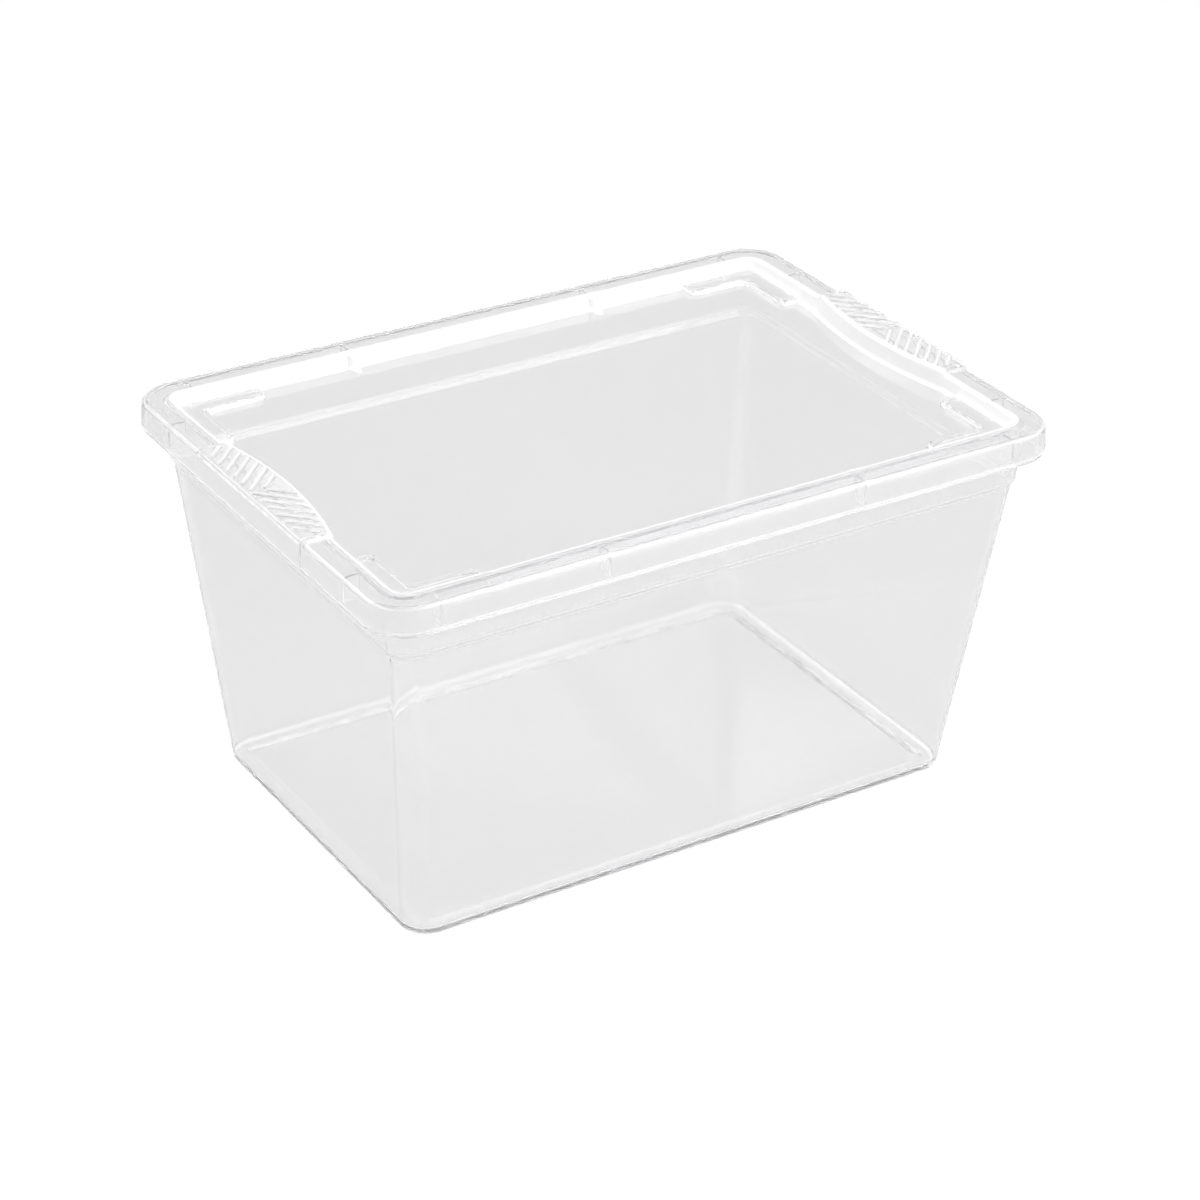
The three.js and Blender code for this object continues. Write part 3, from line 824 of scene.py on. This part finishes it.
def clear_plastic(name, waviness):
    """Clear polypropylene: slightly hazy, with broad flow waves and a fine peel in its surface.
    Where the mesh's painted highlight share is higher it is whiter and less clear, which paints
    light lines on its edges; and it hardly darkens a shadow."""
    material = bpy.data.materials.new(name)
    material.use_nodes = True
    nodes = material.node_tree.nodes
    links = material.node_tree.links
    nodes.clear()
    plastic = nodes.new("ShaderNodeBsdfPrincipled")
    plastic.inputs["Base Color"].default_value = (*PLASTIC_TINT, 1)
    plastic.inputs["IOR"].default_value = PLASTIC_IOR

    # the painted highlight share makes the plastic less clear, so its white base colour shows as
    # light lines
    painted_highlight = nodes.new("ShaderNodeAttribute")
    painted_highlight.attribute_name = "painted_highlight"
    clarity = nodes.new("ShaderNodeMapRange")
    clarity.inputs["To Min"].default_value = PLASTIC_CLARITY
    clarity.inputs["To Max"].default_value = HIGHLIGHT_CLARITY
    links.new(painted_highlight.outputs["Fac"], clarity.inputs["Value"])
    links.new(clarity.outputs["Result"], plastic.inputs["Transmission Weight"])

    place = nodes.new("ShaderNodeTexCoord")
    waves = noise(nodes, links, place, WAVE_SCALE, detail=1)
    peel = noise(nodes, links, place, PEEL_SCALE, detail=2)
    gloss = nodes.new("ShaderNodeMapRange")
    gloss.inputs["To Min"].default_value = PLASTIC_ROUGHNESS * SMOOTHEST
    gloss.inputs["To Max"].default_value = PLASTIC_ROUGHNESS * ROUGHEST
    links.new(peel.outputs["Fac"], gloss.inputs["Value"])
    links.new(gloss.outputs["Result"], plastic.inputs["Roughness"])
    broad = bump(nodes, links, waves, WAVE_DEPTH, waviness)
    fine = bump(nodes, links, peel, PEEL_DEPTH, PEEL_STRENGTH)
    links.new(broad.outputs["Normal"], fine.inputs["Normal"])
    links.new(fine.outputs["Normal"], plastic.inputs["Normal"])

    path = nodes.new("ShaderNodeLightPath")
    through = nodes.new("ShaderNodeBsdfTransparent")
    through.inputs["Color"].default_value = (*SHADOW_TINT, 1)
    mix = nodes.new("ShaderNodeMixShader")
    output = nodes.new("ShaderNodeOutputMaterial")
    links.new(path.outputs["Is Shadow Ray"], mix.inputs["Fac"])
    links.new(plastic.outputs["BSDF"], mix.inputs[1])
    links.new(through.outputs["BSDF"], mix.inputs[2])
    links.new(mix.outputs["Shader"], output.inputs["Surface"])
    return material


# ---------------------------------------------------------------- stage, light and camera

FLOOR_SIZE = 14
FLOOR_GAP = 0.2 * MM
FLOOR_ALBEDO = 0.22
FLOOR_ROUGHNESS = 0.9
FLOOR_GLOW = 0.78
FLOOR_GLOW_THROUGH = 0.51
SKY_LOW = 0.9
SKY_LOW_HEIGHT = 0.1
SKY_HIGH = 0.5
SKY_HIGH_HEIGHT = 0.5
LIGHT_AIM = (0, 0, 0.1)


def floor_material():
    """White to the camera, and an even grey to every other ray, so that clear plastic stands
    out against it."""
    material = bpy.data.materials.new("floor_white")
    material.use_nodes = True
    nodes = material.node_tree.nodes
    links = material.node_tree.links
    surface = nodes["Principled BSDF"]
    surface.inputs["Base Color"].default_value = (FLOOR_ALBEDO, FLOOR_ALBEDO, FLOOR_ALBEDO, 1)
    surface.inputs["Roughness"].default_value = FLOOR_ROUGHNESS
    surface.inputs["Specular IOR Level"].default_value = 0
    surface.inputs["Emission Color"].default_value = (1, 1, 1, 1)

    path = nodes.new("ShaderNodeLightPath")
    glow = nodes.new("ShaderNodeMix")
    glow.inputs["A"].default_value = FLOOR_GLOW_THROUGH
    glow.inputs["B"].default_value = FLOOR_GLOW
    links.new(path.outputs["Is Camera Ray"], glow.inputs["Factor"])
    links.new(glow.outputs["Result"], surface.inputs["Emission Strength"])
    return material


def make_floor():
    half = FLOOR_SIZE / 2
    mesh = bpy.data.meshes.new("floor")
    corners = [(-half, -half, 0), (half, -half, 0), (half, half, 0), (-half, half, 0)]
    mesh.from_pydata(corners, [], [(0, 1, 2, 3)])
    mesh.materials.append(floor_material())
    floor = bpy.data.objects.new("floor", mesh)
    floor.location.z = -FLOOR_GAP
    bpy.context.scene.collection.objects.link(floor)


def make_world():
    """Pale towards the horizon, greyer overhead, and plain white where the camera sees it."""
    world = bpy.data.worlds.new("studio")
    bpy.context.scene.world = world
    world.use_nodes = True
    nodes = world.node_tree.nodes
    links = world.node_tree.links
    nodes.clear()
    output = nodes.new("ShaderNodeOutputWorld")
    place = nodes.new("ShaderNodeTexCoord")
    split = nodes.new("ShaderNodeSeparateXYZ")
    ramp = nodes.new("ShaderNodeValToRGB")
    sky = nodes.new("ShaderNodeBackground")
    white = nodes.new("ShaderNodeBackground")
    path = nodes.new("ShaderNodeLightPath")
    mix = nodes.new("ShaderNodeMixShader")
    links.new(place.outputs["Generated"], split.inputs["Vector"])
    links.new(split.outputs["Z"], ramp.inputs["Fac"])
    links.new(ramp.outputs["Color"], sky.inputs["Color"])
    stops = ramp.color_ramp.elements
    stops[0].position = SKY_LOW_HEIGHT
    stops[0].color = (SKY_LOW, SKY_LOW, SKY_LOW, 1)
    stops[1].position = SKY_HIGH_HEIGHT
    stops[1].color = (SKY_HIGH, SKY_HIGH, SKY_HIGH, 1)
    links.new(path.outputs["Is Camera Ray"], mix.inputs["Fac"])
    links.new(sky.outputs["Background"], mix.inputs[1])
    links.new(white.outputs["Background"], mix.inputs[2])
    white.inputs["Color"].default_value = (1, 1, 1, 1)
    links.new(mix.outputs["Shader"], output.inputs["Surface"])


def softbox(name, place, size, power):
    """Rectangular area light aimed at the middle of the object. Power is in watts."""
    light = bpy.data.lights.new(name, "AREA")
    light.shape = "RECTANGLE"
    light.size, light.size_y = size
    light.energy = power
    lamp = bpy.data.objects.new(name, light)
    lamp.location = place
    aim = Vector(LIGHT_AIM) - Vector(place)
    lamp.rotation_mode = "QUATERNION"
    lamp.rotation_quaternion = aim.to_track_quat("-Z", "Y")
    bpy.context.scene.collection.objects.link(lamp)


def make_lights():
    softbox("front_right", place=(1.0, -1.35, 1.1), size=(1.2, 0.9), power=12)
    softbox("back_left", place=(-0.7, 1.3, 1.7), size=(1.2, 0.9), power=13)
    softbox("left", place=(-1.4, -0.2, 0.8), size=(0.9, 0.9), power=3.5)
    softbox("top", place=(0.6, -0.3, 1.9), size=(1.2, 1.2), power=17)


CAMERA_PLACE = Vector((-0.8242, -1.2885, 0.9510))
CAMERA_AZIMUTH = math.radians(-32.814)
CAMERA_ELEVATION = math.radians(29.197)
CAMERA_ROLL = math.radians(1.38)
LENS_MM = 101.0
SENSOR_MM = 36


def make_camera():
    data = bpy.data.cameras.new("camera")
    data.sensor_width = SENSOR_MM
    data.lens = LENS_MM
    camera = bpy.data.objects.new("camera", data)
    across = math.cos(CAMERA_ELEVATION)
    back = Vector((
        math.sin(CAMERA_AZIMUTH) * across,
        -math.cos(CAMERA_AZIMUTH) * across,
        math.sin(CAMERA_ELEVATION),
    ))
    turn = (-back).to_track_quat("-Z", "Y").to_matrix() @ Matrix.Rotation(CAMERA_ROLL, 3, "Z")
    camera.rotation_mode = "QUATERNION"
    camera.rotation_quaternion = turn.to_quaternion()
    camera.location = CAMERA_PLACE
    bpy.context.scene.collection.objects.link(camera)
    bpy.context.scene.camera = camera


def set_render_look():
    """Plain colours, and enough bounces for light trapped inside clear plastic. With fewer, the
    edges of the plastic turn black."""
    scene = bpy.context.scene
    scene.view_settings.view_transform = "Standard"
    scene.view_settings.look = "None"
    scene.cycles.use_denoising = True
    scene.cycles.max_bounces = 128
    scene.cycles.diffuse_bounces = 32
    scene.cycles.glossy_bounces = 128
    scene.cycles.transmission_bounces = 128
    scene.cycles.transparent_max_bounces = 64


# ---------------------------------------------------------------- assembly

make_camera()
make_floor()
make_world()
make_lights()
set_render_look()

bin_shell = make_bin()
bin_shell.data.materials.append(clear_plastic("bin_clear", BIN_WAVES))
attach(bin_shell, "bin")
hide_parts("bin_body")

lid_shell = make_lid()
lid_shell.data.materials.append(clear_plastic("lid_clear", LID_WAVES))
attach(lid_shell, "lid")
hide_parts("lid")
